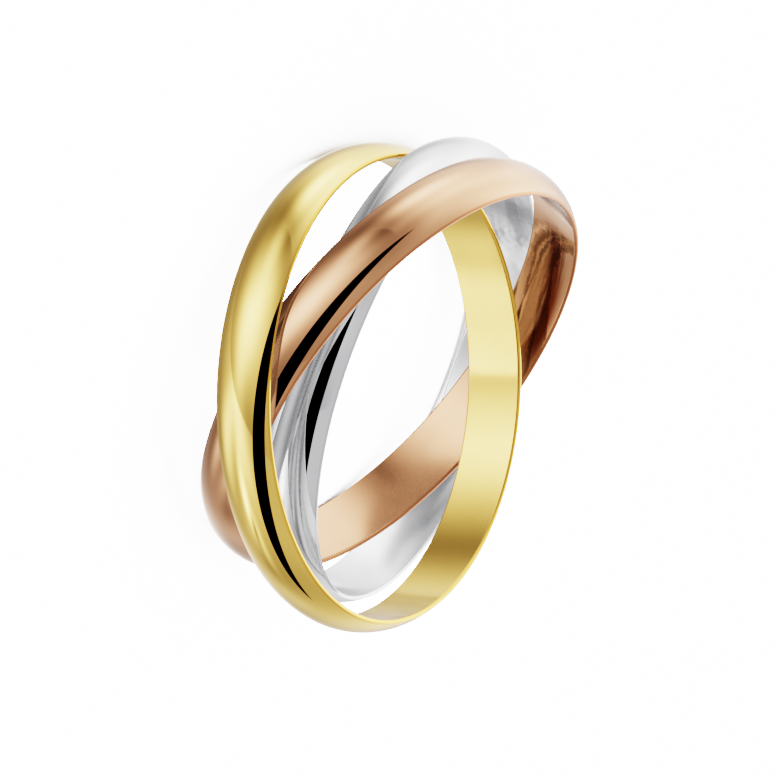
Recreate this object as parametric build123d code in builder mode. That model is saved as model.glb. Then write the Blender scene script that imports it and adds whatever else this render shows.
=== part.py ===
from build123d import *
import os
from math import asin, cos, radians, sin, sqrt

os.makedirs("parts", exist_ok=True)

# A finger ring of three equal bands, linked through one another, lying on its side.
# Millimetres, +Z up. The origin is on the surface, under the middle of the ring.

# Driving sizes of one band, the same for all three
outer_diameter = 21.0  # across the crown of the dome
band_width = 2.65  # along the finger
crown_wall = 0.65  # thickness at the crown
edge_wall = 0.18  # flat side edge, where the dome starts
edge_round = 0.05  # polished corners of the side edge
running_gap = 0.1  # room between two bands where they cross

# Section of a band: a flat bore, two flat side edges and one arc for the dome
crown_radius = outer_diameter / 2
bore_radius = crown_radius - crown_wall
edge_radius = bore_radius + edge_wall
half_width = band_width / 2
dome_height = crown_wall - edge_wall
dome_radius = (half_width**2 + dome_height**2) / (2 * dome_height)
corner_round = min(edge_round, edge_wall / 3)

# The rounded outer corner of a side edge, on which a leaning band stands
corner_along = half_width - corner_round
corner_out = crown_radius - dome_radius + sqrt((dome_radius - corner_round) ** 2 - corner_along**2)
dome_end_slope = corner_along / (dome_radius - corner_round)

# How the bands lie. The wider the bands, the more they fan out, and the thicker
# their walls, the further their centres are apart.
# rise_share: how high the crown's high side stands over level, in band widths
# towards: the way that the top of the band's axis leans, in degrees from +X
# right_share, back_share: its centre from the yellow band's, in steps
# lift_share: how high its lowest edge is held by the other bands, in band widths
lying = {
    "yellow_band": dict(rise_share=1.18, towards=-169.5, right_share=0.0, back_share=0.0, lift_share=0.0),
    "rose_band": dict(rise_share=1.18, towards=21.6, right_share=-1.63, back_share=0.96, lift_share=0.0),
    "white_band": dict(rise_share=0.76, towards=102.9, right_share=-1.56, back_share=4.0, lift_share=0.085),
}
step = crown_wall + running_gap  # one wall and its clearance, where a band passes inside another


def reach(along):
    """How far a band reaches from its centre in a direction whose cosine to the
    band's axis is along: to the dome where the direction meets it, else to the
    rounded corner of the side edge."""
    along = abs(along)
    out = sqrt(1 - along**2)
    if along < dome_end_slope:
        return (crown_radius - dome_radius) * out + dome_radius
    return corner_out * out + corner_along * along + corner_round


def lie_down(rise_share, towards, right_share, back_share, lift_share):
    """The centre and the axis of a band that leans, with its lowest edge at its lift."""
    lean = asin(rise_share * band_width / crown_radius)
    towards = radians(towards)
    axis = Vector(sin(lean) * cos(towards), sin(lean) * sin(towards), cos(lean))
    height = reach(cos(lean)) + lift_share * band_width
    return Vector(right_share * step, back_share * step, height), axis


def middle(bands, direction):
    """Half way between the two ends of all the bands along a direction."""
    low = min(centre.dot(direction) - reach(axis.dot(direction)) for centre, axis in bands)
    high = max(centre.dot(direction) + reach(axis.dot(direction)) for centre, axis in bands)
    return (low + high) / 2


seats = {node: lie_down(**place) for node, place in lying.items()}
right, back = Vector(1, 0, 0), Vector(0, 1, 0)
to_origin = right * middle(seats.values(), right) + back * middle(seats.values(), back)

# Each band is its section turned once round its own leaning axis
for node, (centre, axis) in seats.items():
    centre = centre - to_origin
    flat = Plane(origin=centre, z_dir=axis)
    section_plane = Plane(origin=centre, x_dir=flat.x_dir, z_dir=-flat.y_dir)
    with BuildPart() as band:
        with BuildSketch(section_plane) as section:
            with BuildLine():
                bore = Line((bore_radius, -half_width), (bore_radius, half_width))
                top_edge = Line(bore @ 1, (edge_radius, half_width))
                dome = ThreePointArc(top_edge @ 1, (crown_radius, 0), (edge_radius, -half_width))
                Line(dome @ 1, bore @ 0)
            make_face()
            fillet(section.vertices(), corner_round)
        revolve(axis=Axis(centre, axis))
    band.part.label = node
    export_step(band.part, f"parts/{node}.step")
    print(node, "centre", centre, "axis", axis)
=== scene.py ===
# %% [markdown]
# # A ring of three linked bands
# This ring is three hoops of gold, yellow, rose and white, each passed through the
# other two so that they roll over one another when the ring is put on. Every shape
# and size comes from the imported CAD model. Blender is here for the looks: a finer
# surface, the polish, and the light that a polished thing reflects.

# %% The frame
from math import asin, cos, degrees, radians, sin, sqrt

import bpy
import numpy as np
from mathutils import Matrix, Vector


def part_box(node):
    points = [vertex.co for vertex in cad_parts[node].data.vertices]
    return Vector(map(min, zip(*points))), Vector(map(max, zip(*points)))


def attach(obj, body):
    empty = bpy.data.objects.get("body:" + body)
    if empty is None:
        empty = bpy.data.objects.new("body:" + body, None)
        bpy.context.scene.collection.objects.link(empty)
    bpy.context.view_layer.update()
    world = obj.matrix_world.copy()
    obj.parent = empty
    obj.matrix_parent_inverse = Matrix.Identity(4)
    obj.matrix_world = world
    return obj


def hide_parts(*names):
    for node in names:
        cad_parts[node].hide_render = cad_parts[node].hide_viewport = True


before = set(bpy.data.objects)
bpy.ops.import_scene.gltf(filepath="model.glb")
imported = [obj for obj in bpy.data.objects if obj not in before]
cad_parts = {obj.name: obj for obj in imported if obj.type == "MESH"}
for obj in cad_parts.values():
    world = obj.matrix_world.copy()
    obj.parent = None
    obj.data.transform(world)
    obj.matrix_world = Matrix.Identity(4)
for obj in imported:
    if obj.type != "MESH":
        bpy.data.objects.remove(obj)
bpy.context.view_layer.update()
mm = 0.001  # in metres, which every length in Blender is in
micron = 0.001 * mm

# %% [markdown]
# ## The camera
# The photograph is taken from far away with a long lens, so the three hoops are
# hardly smaller at the back. The camera is turned about its own line of sight, which
# lets the ring lie flat on the floor here and still stand up in the picture.
# A camera could be aimed with a constraint, but three plain directions are easier to
# read: right, up and back are the columns of its matrix.

# %% The camera
azimuth, elevation, roll = radians(-0.17), radians(30.73), radians(113.05)
looked_at = Vector((0.54, -1.08, 4.84)) * mm
distance = 374 * mm
sensor_width, lens = 36.0, 405.1  # both in millimetres, as Blender has them
farthest_seen = 100  # metres, well past the end of the floor

back = Vector((sin(azimuth) * cos(elevation), -cos(azimuth) * cos(elevation), sin(elevation)))
level_right = Vector((cos(azimuth), sin(azimuth), 0))
level_up = back.cross(level_right)
right = cos(roll) * level_right + sin(roll) * level_up
up = back.cross(right)

camera = bpy.data.objects.new("camera", bpy.data.cameras.new("camera"))
camera.data.sensor_width, camera.data.lens = sensor_width, lens
camera.data.clip_end = farthest_seen
turned = Matrix((right, up, back)).transposed().to_4x4()
camera.matrix_world = Matrix.Translation(looked_at + distance * back) @ turned
bpy.context.scene.collection.objects.link(camera)
bpy.context.scene.camera = camera
print("camera at", [round(c / mm, 1) for c in camera.matrix_world.translation], "mm")

# %% [markdown]
# ## The section of a band
# Cut a band across and the cut is a small D: a flat bore against the finger, a
# shallow dome outside, two thin side edges, and corners that the polishing wheel has
# rounded. A bevel modifier could round the corners of a plain hoop, but a polished
# surface shows every flat in a reflection, so the section is written down as arcs and
# the true direction of the surface is kept with each of its points.

# %% The section of a band
crown_radius = 10.5 * mm  # from the axis to the top of the dome
band_width = 2.65 * mm
crown_wall, edge_wall = 0.65 * mm, 0.18 * mm
corner_round = 0.05 * mm
inner_round = 0.11 * mm  # where the bore meets a side edge, eased for the finger

bore_radius = crown_radius - crown_wall
half_width = band_width / 2
dome_height = crown_wall - edge_wall
dome_radius = (half_width**2 + dome_height**2) / (2 * dome_height)
corner_along = half_width - corner_round
corner_out = crown_radius - dome_radius + sqrt((dome_radius - corner_round) ** 2 - corner_along**2)
dome_half_angle = asin(corner_along / (dome_radius - corner_round))


def arc(out, along, radius, start, end, steps):
    """Points on a circle of the section and the directions in which it faces:
    centre + radius * (cos angle, sin angle), angle running evenly from start to end."""
    angle = np.linspace(start, end, steps)
    facing = np.stack([np.cos(angle), np.sin(angle)], axis=1)
    return np.array([out, along]) + radius * facing, facing


def section(dome_steps=41, corner_steps=9, easing_steps=13, bore_steps=9):
    """The closed D, walked so that the metal is on the left: the dome towards +along,
    the top edge inwards, the bore back, the bottom edge outwards. The straight runs are
    the gaps between arcs, and only the bore gets points of its own."""
    quarter = np.pi / 2
    dome_again = 4 * quarter - dome_half_angle  # the dome's other end, once round
    inner_out, inner_along = bore_radius + inner_round, half_width - inner_round
    bore_along = np.linspace(inner_along, -inner_along, bore_steps + 2)[1:-1]
    bore = np.stack([np.full_like(bore_along, bore_radius), bore_along], axis=1)
    inwards = np.tile([-1.0, 0.0], (bore_steps, 1))
    runs = [
        arc(crown_radius - dome_radius, 0, dome_radius, -dome_half_angle, dome_half_angle, dome_steps),
        arc(corner_out, corner_along, corner_round, dome_half_angle, quarter, corner_steps),
        arc(inner_out, inner_along, inner_round, quarter, 2 * quarter, easing_steps),
        (bore, inwards),
        arc(inner_out, -inner_along, inner_round, 2 * quarter, 3 * quarter, easing_steps),
        arc(corner_out, -corner_along, corner_round, 3 * quarter, dome_again, corner_steps),
    ]
    points, facing = (np.concatenate(part) for part in zip(*runs))
    # where the end of one arc is the start of the next, the point is kept once
    fresh = np.linalg.norm(points - np.roll(points, 1, axis=0), axis=1) > micron
    return points[fresh], facing[fresh]


section_points, section_facing = section()
print(len(section_points), "points round the section, dome radius", round(dome_radius / mm, 3), "mm")

# %% [markdown]
# ## Three hoops from one section
# Each hoop is its section carried once round a leaning axis: a surface of two
# parameters, the turn about the axis and the walk round the section. Blender's Spin
# tool does the same, but the grid also gives each point its place on the band, which
# the polish marks follow later, and the grid closes on itself both ways, so no seam
# is left.

# %% A hoop as a surface of two parameters
turns = 720  # half a degree each


def hoop(axis):
    """Points, directions and own places of the surface
    out(t) * (cos(s) * side + sin(s) * front) + along(t) * axis, for s once round the
    axis and t once round the section. An own place is the same point on a hoop
    that isn't leaning: (out cos s, out sin s, along)."""
    side = Vector((0, 0, 1)).cross(axis).normalized()
    basis = np.array([side, axis.cross(side), axis])
    s = np.linspace(0, 2 * np.pi, turns, endpoint=False)[:, None]

    def carried(out, along):
        places = np.broadcast_arrays(out * np.cos(s), out * np.sin(s), along)
        return np.stack(places, axis=-1).reshape(-1, 3)

    own = carried(*section_points.T)
    return own @ basis, carried(*section_facing.T) @ basis, own


def grid_faces(rows, columns):
    """Quads of a grid that closes on itself in both directions."""
    i, j = np.meshgrid(np.arange(rows), np.arange(columns), indexing="ij")
    i_next, j_next = (i + 1) % rows, (j + 1) % columns
    corners = [i * columns + j, i_next * columns + j, i_next * columns + j_next, i * columns + j_next]
    return np.stack(corners, axis=-1).reshape(-1, 4)


def band_mesh(name, centre, axis):
    """A mesh from the hoop's arrays, with its true directions and its own places."""
    points, facing, own = hoop(axis)
    faces = grid_faces(turns, len(section_points))
    mesh = bpy.data.meshes.new(name)
    mesh.from_pydata(points + np.array(centre), [], faces)
    mesh.polygons.foreach_set("use_smooth", np.ones(len(faces), bool))
    mesh.normals_split_custom_set_from_vertices(facing)
    place = mesh.attributes.new("on_band", "FLOAT_VECTOR", "POINT")
    place.data.foreach_set("vector", own.astype(np.float32).ravel())
    mesh.update()
    return mesh


# %% [markdown]
# ## The bands in place
# All three are the same hoop, leaning three ways. How much and which way each leans is
# repeated from the CAD model, and the middle of a hoop is the middle of its CAD box,
# because a hoop is the same on both sides of its centre. Each hoop stands for its CAD
# solid, which stays for collisions, and rides on the same body, so it rolls as the solid
# does. The last lines measure the solid about the hoop's axis. If an axis were wrong, the
# solid would come out too wide.

# %% The three bands in place
lean_rise = {"yellow": 1.18, "rose": 1.18, "white": 0.76}  # crown's rise over level, in widths
leans_towards = {"yellow": -169.5, "rose": 21.6, "white": 102.9}  # degrees from +X
bands = {}
for colour, rise in lean_rise.items():
    lean, towards = asin(rise * band_width / crown_radius), radians(leans_towards[colour])
    axis = Vector((sin(lean) * cos(towards), sin(lean) * sin(towards), cos(lean)))
    node = f"{colour}_band"
    low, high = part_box(node)
    mesh = band_mesh(node + "_polished", (low + high) / 2, axis)
    band = bpy.data.objects.new(f"{colour}_polished_band", mesh)
    bpy.context.scene.collection.objects.link(band)
    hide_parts(node)
    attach(band, colour)
    bands[colour] = band
    cad = np.array([v.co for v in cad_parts[node].data.vertices]) - np.array((low + high) / 2)
    along = cad @ np.array(axis)
    out = np.linalg.norm(cad - along[:, None] * np.array(axis), axis=1)
    wide, across = np.ptp(along) / mm, 2 * out.max() / mm
    print(node, "leans", round(degrees(lean), 2), "deg;", 2 * len(mesh.polygons), "triangles")
    print("    its CAD is", round(wide, 3), "mm wide,", round(across, 3), "mm across")

# %% [markdown]
# ## Nodes by arithmetic
# A shader's sums read best as sums. One small class wraps a socket, and its operators
# add the Math nodes; every other node comes from one method, which sets the node up
# before it wires the sockets.


# %% Nodes by arithmetic
class Wire:
    """An output socket that can be added, subtracted and multiplied."""

    def __init__(self, board, socket):
        self.board, self.socket = board, socket

    def maths(self, operation, first, second):
        return self.board.make("ShaderNodeMath", {"operation": operation}, {0: first, 1: second})

    def __add__(self, other):
        return self.maths("ADD", self, other)

    __radd__ = __add__

    def __sub__(self, other):
        return self.maths("SUBTRACT", self, other)

    def __rsub__(self, other):
        return self.maths("SUBTRACT", other, self)

    def __mul__(self, other):
        return self.maths("MULTIPLY", self, other)

    __rmul__ = __mul__


class Board:
    """A node tree, emptied, with one way to put a node on it."""

    def __init__(self, tree):
        self.tree = tree
        tree.nodes.clear()

    def make(self, kind, settings=None, inputs=None, out=0):
        """Adds a node of a kind, sets it up, fills or links its sockets, gives one output."""
        node = self.tree.nodes.new(kind)
        for name, value in (settings or {}).items():
            setattr(node, name, value)
        for name, value in (inputs or {}).items():
            if isinstance(value, Wire):
                self.tree.links.new(value.socket, node.inputs[name])
            else:
                node.inputs[name].default_value = value
        return Wire(self, node.outputs[out]) if node.outputs else node

    def dot(self, vector, direction):
        """How far a vector reaches in a direction."""
        settings = {"operation": "DOT_PRODUCT"}
        return self.make("ShaderNodeVectorMath", settings, {0: vector, 1: direction}, out="Value")

    def unsigned(self, value):
        """A number without its sign."""
        return self.make("ShaderNodeMath", {"operation": "ABSOLUTE"}, {0: value})

    def fade(self, value, none, full, low=0.0, high=1.0):
        """A soft step from low, where value is none, to high, where it is full."""
        sockets = {"Value": value, "From Min": none, "From Max": full}
        sockets.update({"To Min": low, "To Max": high})
        return self.make("ShaderNodeMapRange", {"interpolation_type": "SMOOTHSTEP"}, sockets)


print("classes for shader maths:", Wire.__name__, Board.__name__)

# %% [markdown]
# ## Three alloys
# The bands differ in colour only: copper turns gold rose, palladium or nickel turns it
# white. The side edges, which lie against another band, get painted shade: a deeper
# colour, that of light which has met the same alloy twice, stands in for the shade and
# reflections between the bands. Polished gold also mirrors the other bands, and a band's
# mirror image is paler here than the band, because the photograph's own mirror images are.
# Between two bands the light goes to and fro many times, and the renderer stops following
# it after a few: what is still left there is painted on as a faint glow, which only such
# deep reflections see.

# %% Three alloys
alloys = {
    "yellow": (0.96, 0.615, 0.20),
    "rose": (0.65, 0.34, 0.20),
    "white": (0.78, 0.78, 0.80),
}
hazed_shade = 0.97  # of the alloy's colour, where there is haze
edge_painted_shade, streaks_painted_reflection_shade = 0.9, 0.4  # of that colour squared, for painted shade on the edges and painted reflections in the streaks
painted_edge_shade_share = 0.55  # how much of the painted shade shows on the side edges
mirrored_bore = (0.94, 0.94, 0.94)
mirrored_dome = {"yellow": (0.87, 0.83, 0.75), "rose": (0.9, 0.9, 0.9), "white": (0.8, 0.8, 0.8)}
glow_left_in_gap = {"yellow": 0.62, "rose": 0.1, "white": 0.12}
last_bounces = 3.2, 3.8  # Ray Depth is a whole number: no glow up to 3, all of it from 4


def deeper(alloy, shade):
    """shade * colour^2, the colour of light that has met the same alloy twice."""
    return [shade * c * c for c in alloy]


for colour, alloy in alloys.items():
    print(colour, "gold is", alloy, "and deeper", np.round(deeper(alloy, edge_painted_shade), 2))

# %% [markdown]
# ## The polish
# What the eye reads as polish is a reflection that is a little less than perfect: fine
# marks round the band from the wheel, a slow unevenness left by the hand that held it,
# more haze in the bore than on the dome, and more wear at the corners. All of it rolls
# with the band, so it reads the place on the band and not the place in the room. Real
# dents could be modelled, but they are hundredths of a millimetre deep, and a bump
# bends a reflection just as well.

# %% The polish
dome_roughness, hazed_roughness, worn_roughness = 0.035, 0.075, 0.16
bore_roughness, dressed_roughness = 0.14, 0.05
haze_roughens, haze_deepens = (0.45, 0.75), (0.4, 0.7)  # from, to, in the noise of the haze
grains = {  # to a millimetre round the band, to a millimetre along it, levels of detail
    "haze": (0.5, 0.5, 3.0),
    "hand": (0.35, 0.5, 1.0),
    "wheel": (0.6, 30.0, 4.0),
    "waves": (0.9, 0.9, 2.0),
    "wander": (0.3, 0.1, 2.0),
    "streaks": (0.12, 2.6, 2.0),
}
hand_depth, wheel_depth = 3.0, 0.02  # in microns
wave_depth = {"yellow": 4.0, "rose": 12.0, "white": 30.0}  # in microns


def band_noise(board, place, kind):
    """Noise on a place that is scaled by grains, round the band and along it."""
    around, along, detail = grains[kind]
    scale = (around / mm, around / mm, along / mm)
    stretched = board.make("ShaderNodeMapping", {}, {"Vector": place, "Scale": scale})
    return board.make("ShaderNodeTexNoise", {}, {"Vector": stretched, "Scale": 1.0, "Detail": detail})


print("marks in microns: hand", hand_depth, "wheel", wheel_depth, "dressed bores", wave_depth)

# %% [markdown]
# ## Edges, bore and dressed place
# The wheel doesn't reach everywhere, and the side edges get painted shade, so the shader has to know
# where on the band it is.
# The side edges are the ends of the band's width, and the bore is the part of it that is
# nearest to the axis. Each bore also has one place where the band was closed and dressed
# by hand, which is bright but wavy. The masks could be painted, but worked out from the
# place on the band they stay sharp however near the camera comes.

# %% Where on a band
edge_mask = half_width - inner_round, half_width - 0.3 * inner_round  # along: none, full
bore_mask = bore_radius + 0.6 * corner_round, bore_radius + 0.1 * corner_round  # out: none, full
dressed_at = {"yellow": 150, "rose": 15, "white": -52}  # degrees round each band
dressed_mask = cos(radians(40)), cos(radians(14))  # of the angle from there: none, full


def edge_and_bore(board, place):
    """Two masks, each 0 to 1: the side edges, from |along|, and the bore, from the length
    of (x, y, 0), which is the distance from the axis."""
    along = board.unsigned(board.make("ShaderNodeSeparateXYZ", {}, {0: place}, out="Z"))
    level = board.make("ShaderNodeVectorMath", {"operation": "MULTIPLY"}, {0: place, 1: (1, 1, 0)})
    out = board.make("ShaderNodeVectorMath", {"operation": "LENGTH"}, {0: level}, out="Value")
    return board.fade(along, *edge_mask), board.fade(out, *bore_mask)


def at_dressing(colour):
    """Where a band was dressed, two directions: outwards, and on round the band."""
    angle = radians(dressed_at[colour])
    return Vector((cos(angle), sin(angle), 0)), Vector((-sin(angle), cos(angle), 0))


print("dressed at", dressed_at, "degrees round the bands")

# %% [markdown]
# ## Streaks of painted reflection in the dressed place
# The rose bore has a broad red-brown streak there and finer ones beside it, the white
# bore fainter ones. They are painted reflections: the deeper colour of light that has met
# the same alloy twice, where the bore mirrors itself. They run along the band, a little
# aslant, and waver. They have no depth, so they only deepen the colour: a noise drawn out
# along the band, and filled in near one slanting line.

# %% The streaks
streaks_mask = cos(radians(27)), cos(radians(14))  # a little less far round than the dressing
streaks_at = 0.5 * mm  # along the band
streaks_half, streaks_full = 0.75 * mm, 0.15 * mm  # from their line: none outside, full inside
core_half, core_full = 0.36 * mm, 0.144 * mm  # the same, of the broad one in the middle
between_streaks = 0.48, 0.38  # in the noise of the streaks: none, full
streaks_slant = -0.11  # how far they stray along the band for each step round it
streaks_wander, noise_middle = 0.6 * mm, 0.5
# the share of painted reflection in each bore's streaks
streaks_painted_reflection_share = {"yellow": 0.0, "rose": 1.0, "white": 0.4}


def painted_reflection_streaks(board, place, in_bore, colour):
    """A mask, 0 to 1, of painted reflections, a broad streak and finer ones: they fade
    with the distance |along + wander - slant * round - at| from their line, and with the angle."""
    outwards, onwards = at_dressing(colour)
    height = board.make("ShaderNodeSeparateXYZ", {}, {0: place}, out="Z")
    wander = (band_noise(board, place, "wander") - noise_middle) * streaks_wander
    stray = board.dot(place, streaks_slant * onwards)
    off_line = board.unsigned(height + wander - stray - streaks_at)
    gaps_between = board.fade(band_noise(board, place, "streaks"), *between_streaks)
    gaps_between = gaps_between * board.fade(off_line, core_full, core_half)
    streaks = board.fade(off_line, streaks_half, streaks_full) * (1 - gaps_between)
    near = board.fade(board.dot(place, outwards / bore_radius), *streaks_mask)
    return in_bore * near * streaks


print("share of the deeper colour in the streaks", streaks_painted_reflection_share)

# %% [markdown]
# ## One recipe for three golds
# A metal needs only a colour, a roughness and its bumps. One function makes all three
# materials, because only the alloy and the dressed place differ. The masks and noises
# from above add up to one roughness, one relief and one colour.

# %% The gold
mix_share, mix_first, mix_second, mix_result = 0, 6, 7, 2  # a Mix node's sockets for colours


def mixed(board, share, first, second):
    """One colour, or a share of another."""
    sockets = {mix_share: share, mix_first: first, mix_second: second}
    for key in (mix_first, mix_second):
        if not isinstance(sockets[key], Wire):
            sockets[key] = (*sockets[key], 1)
    return board.make("ShaderNodeMix", {"data_type": "RGBA"}, sockets, out=mix_result)


def polished_gold(name, colour):
    """A mirror of one alloy with wheel marks, hand unevenness, haze, painted shade on the
    edges, painted reflections in streaks and a dressed place in the bore."""
    material = bpy.data.materials.new(name)
    material.use_nodes = True
    board = Board(material.node_tree)
    place = board.make("ShaderNodeAttribute", {"attribute_name": "on_band"}, out="Vector")
    at_edge, in_bore = edge_and_bore(board, place)
    outwards = at_dressing(colour)[0]
    dressed = in_bore * board.fade(board.dot(place, outwards / bore_radius), *dressed_mask)
    streaks = painted_reflection_streaks(board, place, in_bore, colour)

    haze = band_noise(board, place, "haze")
    roughness = board.fade(haze, *haze_roughens, dome_roughness, hazed_roughness)
    roughness = roughness + at_edge * (worn_roughness - hazed_roughness)
    roughness = roughness + in_bore * (bore_roughness - dome_roughness)
    roughness = roughness - dressed * (bore_roughness - dressed_roughness)

    relief = band_noise(board, place, "hand") * hand_depth
    relief = relief + band_noise(board, place, "wheel") * wheel_depth
    relief = relief + dressed * (band_noise(board, place, "waves") * wave_depth[colour])
    bump = board.make("ShaderNodeBump", {}, {"Strength": 1.0, "Distance": micron, "Height": relief})

    alloy = alloys[colour]
    tone = mixed(board, board.fade(haze, *haze_deepens), alloy, [hazed_shade * c for c in alloy])
    # painted shade on the side edges, in the colour of light that has met the alloy twice
    tone = mixed(board, at_edge * painted_edge_shade_share, tone, deeper(alloy, edge_painted_shade))
    # painted reflections in the streaks of the bore
    tone = mixed(board, streaks * streaks_painted_reflection_share[colour], tone, deeper(alloy, streaks_painted_reflection_shade))
    in_mirror = board.make("ShaderNodeLightPath", {}, out="Is Glossy Ray")
    tone = mixed(board, in_mirror, tone, mixed(board, in_bore, mirrored_dome[colour], mirrored_bore))

    bounces = board.make("ShaderNodeLightPath", {}, out="Ray Depth")
    # a painted glow for the light left between the bands
    glow = mixed(board, board.fade(bounces, *last_bounces), (0, 0, 0), [glow_left_in_gap[colour]] * 3)
    finish = {"Base Color": tone, "Metallic": 1.0, "Roughness": roughness, "Normal": bump}
    finish.update({"Emission Color": glow, "Emission Strength": 1.0})
    shader = board.make("ShaderNodeBsdfPrincipled", {}, finish)
    board.make("ShaderNodeOutputMaterial", {}, {"Surface": shader})
    return material


for colour, band in bands.items():
    gold = polished_gold(f"{colour}_gold_polish", colour)
    band.data.materials.append(gold)
    print(gold.name, "has", len(gold.node_tree.nodes), "nodes")

# %% [markdown]
# ## The floor
# A plain pale floor that goes on past every view. It catches a soft shadow. A curved
# backdrop would hide the far edge too, but a flat one is enough for so small a thing.
# The polished metal doesn't reflect it, because in the photograph the ring isn't on a
# table but in the middle of a white tent, which it reflects on all sides.

# %% The floor
floor_half = 4.0  # metres
paper_shade, paper_roughness = 0.9, 0.9
floor_mesh = bpy.data.meshes.new("floor")
floor_corners = floor_half * np.array([(-1, -1, 0), (1, -1, 0), (1, 1, 0), (-1, 1, 0)])
floor_mesh.from_pydata(floor_corners, [], [(0, 1, 2, 3)])
floor = bpy.data.objects.new("floor", floor_mesh)
bpy.context.scene.collection.objects.link(floor)
floor.visible_glossy = False
pale = bpy.data.materials.new("pale_floor")
pale.use_nodes = True
floor_board = Board(pale.node_tree)
finish = {"Base Color": (paper_shade, paper_shade, paper_shade, 1), "Roughness": paper_roughness}
finish["Specular IOR Level"] = 0.0
paper = floor_board.make("ShaderNodeBsdfPrincipled", {}, finish)
floor_board.make("ShaderNodeOutputMaterial", {}, {"Surface": paper})
floor_mesh.materials.append(pale)
print("floor", 2 * floor_half, "m wide")

# %% [markdown]
# ## The floor's lamp
# A large round lamp above the ring, a little to the right and to the front, lights the
# floor. Its size sets the shadow: a small lamp draws a hard edge, a very large one hardly
# any shadow. The metal doesn't mirror it either. It has the studio below for that.

# %% The lamp
lamp_width, lamp_power, lamp_place = 1.1, 112.0, (0.1, -0.15, 0.7)  # metres, watts, metres
lamp_data = bpy.data.lights.new("floor_light", "AREA")
lamp_data.shape, lamp_data.size = "DISK", lamp_width
lamp_data.energy = lamp_power
lamp = bpy.data.objects.new("floor_light", lamp_data)
lamp.location = lamp_place
lamp.rotation_euler = (Vector((0, 0, 0)) - lamp.location).to_track_quat("-Z", "Y").to_euler()
lamp.visible_glossy = False
bpy.context.scene.collection.objects.link(lamp)
print("lamp", lamp_width, "m wide,", lamp_power, "W")

# %% [markdown]
# ## The studio
# Polished metal is a picture of the room around it, so the light is the other half
# of the material. The room is a white tent with soft panels, gaps between them and one
# narrow black opening for the lens. Real lamps could stand round the ring, but their
# edges would be hard to place in so small and curved a mirror. So the room is painted on
# the world, where every direction has its own brightness. Directions are given as a
# photographer would give them, from the lens: degrees round to the right, degrees up.


# %% What hangs in the studio
def from_lens(to_the_right, upwards):
    """A direction in the room: 0, 0 is straight back to the lens."""
    a, e = radians(to_the_right), radians(upwards)
    return sin(a) * cos(e) * right + sin(e) * up + cos(a) * cos(e) * back


tent = 0.6  # its brightness, to which each panel adds
panels = {  # degrees right, degrees up, turned, half width, half height, brightness
    "left": (-62, -13, 3, 0.25, 0.51, 1.53),
    "far left": (-103, -13, 18, 0.58, 0.17, 1.65),
    "behind, high": (182, 46, 31, 0.38, 0.22, 0.65),
    "right": (123, 3, 38, 0.35, 0.85, 2.63),
    "behind": (196, -9, 44, 0.16, 0.85, 1.82),
    "behind, left": (-149, -31, -19, 0.18, 0.39, 3.14),
    "by the lens": (-50, 29, -88, 0.34, 0.54, 1.81),
    "overhead": (111, 60, 40, 0.25, 0.85, 1.44),
    "low left": (-92, -43, 43, 0.31, 0.11, 3.11),
    "overhead left": (-119, 84, -4, 0.53, 0.23, 3.14),
}
gaps = {  # degrees right, degrees up, turned, half width, half height, darkness
    "far left": (-144, -26, -19, 0.54, 0.85, 0.87),
    "overhead": (-60, 75, 2, 0.85, 0.29, 0.84),
    "low left": (-102, -49, 13, 0.21, 0.07, 0.84),
}
sharp_gaps = {  # the same, but dark on one side only of a sharp edge
    "between the panels": (-64, -6, -31, 0.85, 0.28, 0.62),
    "before the overhead panel": (-1, 65, 137, 0.30, 0.26, 0.42),
}
deep_share = 0.5  # of the light, for every reflection after the first
deep_changes = {  # degrees right, degrees up, turned, half width, half height, added to the share
    "by the lens": (0, -15, 0, 0.50, 0.35, 0.72),
    "overhead": (5, 76, 0, 0.22, 0.25, 0.85),
    "behind, right": (150, 2, 0, 0.40, 0.42, -0.38),
    "overhead, behind": (172, 77, 0, 0.20, 0.20, -0.32),
}
opening_left = (53.3, -31.7), (0.278, 0.298)  # a direction, and cosines to it: closed, open
opening_right = (79.3, -22.8), (0.304, 0.284)
backdrop = 6.0  # what the camera itself sees past the floor
print(len(panels), "panels and", len(gaps) + len(sharp_gaps), "gaps in a tent of brightness", tent)

# %% [markdown]
# ## A patch of the room
# A panel, or a gap between panels, is a soft oval round one direction. For a direction
# that is looked along, two dot products say how far to the side and how far up it lies
# from the middle of the oval, and a bell curve of both says how much of the patch it
# sees. The opening is what lies between two circles of the sky, one on each side of it.

# %% A patch of the room
patch_side = 0.0, 0.4  # cosines to its middle: none, full, so that none shows opposite
sharp_edge = -0.08, 0.08  # in half heights
world = bpy.data.worlds.new("studio")
bpy.context.scene.world = world
world.use_nodes = True
studio = Board(world.node_tree)
looking = studio.make("ShaderNodeTexCoord", {}, out="Generated")


def turned_by(angle, across, upright):
    """Two directions at right angles, both turned in their own plane."""
    turn = radians(angle)
    turned_across = cos(turn) * across + sin(turn) * upright
    return turned_across, cos(turn) * upright - sin(turn) * across


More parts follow.
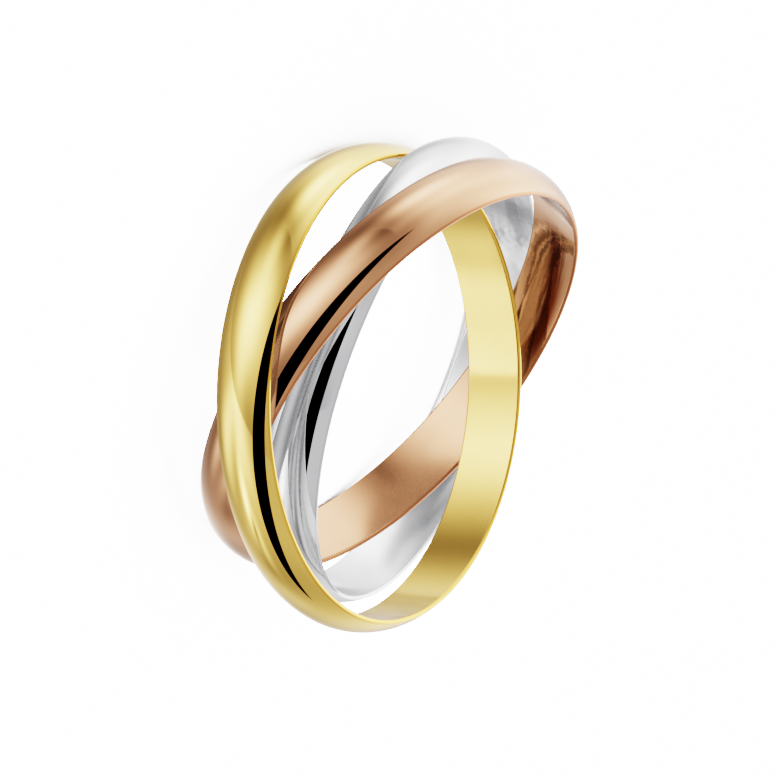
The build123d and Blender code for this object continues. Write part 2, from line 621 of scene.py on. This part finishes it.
def soft_patch(to_the_right, upwards, turned, half_wide, half_high, sharp=False):
    """exp(-((across / half_wide)^2 + (up / half_high)^2)) round a direction, for the
    directions on that side of the room, and if it is sharp for those with up > 0."""
    middle = from_lens(to_the_right, upwards)
    across = from_lens(to_the_right + 90, 0)
    across, upright = turned_by(turned, across, middle.cross(across))
    a = studio.dot(looking, across / half_wide)
    b = studio.dot(looking, upright / half_high)
    fall = studio.make("ShaderNodeMath", {"operation": "EXPONENT"}, {0: 0 - (a * a + b * b)})
    fall = fall * studio.fade(studio.dot(looking, middle), *patch_side)
    return fall * studio.fade(b, *sharp_edge) if sharp else fall


def inside(direction, cosines):
    """A soft step, 0 to 1, in the cosine between what is looked at and a direction."""
    return studio.fade(studio.dot(looking, from_lens(*direction)), *cosines)


print("the world", world.name, "is empty but for", len(world.node_tree.nodes), "node")

# %% [markdown]
# ## Painting the room
# Panels add light to the tent, and gaps take a part of it away. Only a first reflection
# sees the opening. Deeper ones, from the narrow places between bands, get a share of the
# light, more by the lens and overhead and less from behind, as the photograph has it.
# The camera itself sees plain white past the floor.

# %% The studio
first_depth = 2.0  # what Ray Depth says on the world for a first reflection
brightness = tent
for *place, strength in panels.values():
    brightness = brightness + soft_patch(*place) * strength
for *place, darkness in gaps.values():
    brightness = brightness * (1 - soft_patch(*place) * darkness)
for *place, darkness in sharp_gaps.values():
    brightness = brightness * (1 - soft_patch(*place, sharp=True) * darkness)

bounces = studio.make("ShaderNodeLightPath", {}, out="Ray Depth")
first = studio.fade(bounces, first_depth + 1, first_depth)
opening = inside(*opening_left) * inside(*opening_right) * first
deep = deep_share
for *place, change in deep_changes.values():
    deep = deep + soft_patch(*place) * change
brightness = brightness * (1 - opening) * (first + (1 - first) * deep)

seen = studio.make("ShaderNodeLightPath", {}, out="Is Camera Ray")
tent_light = brightness * (1 - seen) + seen * backdrop
background = studio.make("ShaderNodeBackground", {}, {"Color": (1, 1, 1, 1), "Strength": tent_light})
studio.make("ShaderNodeOutputWorld", {}, {"Surface": background})
bpy.context.scene.view_settings.view_transform = "Filmic"
bpy.context.scene.view_settings.look = "Very High Contrast"
print("the studio has", len(world.node_tree.nodes), "nodes")
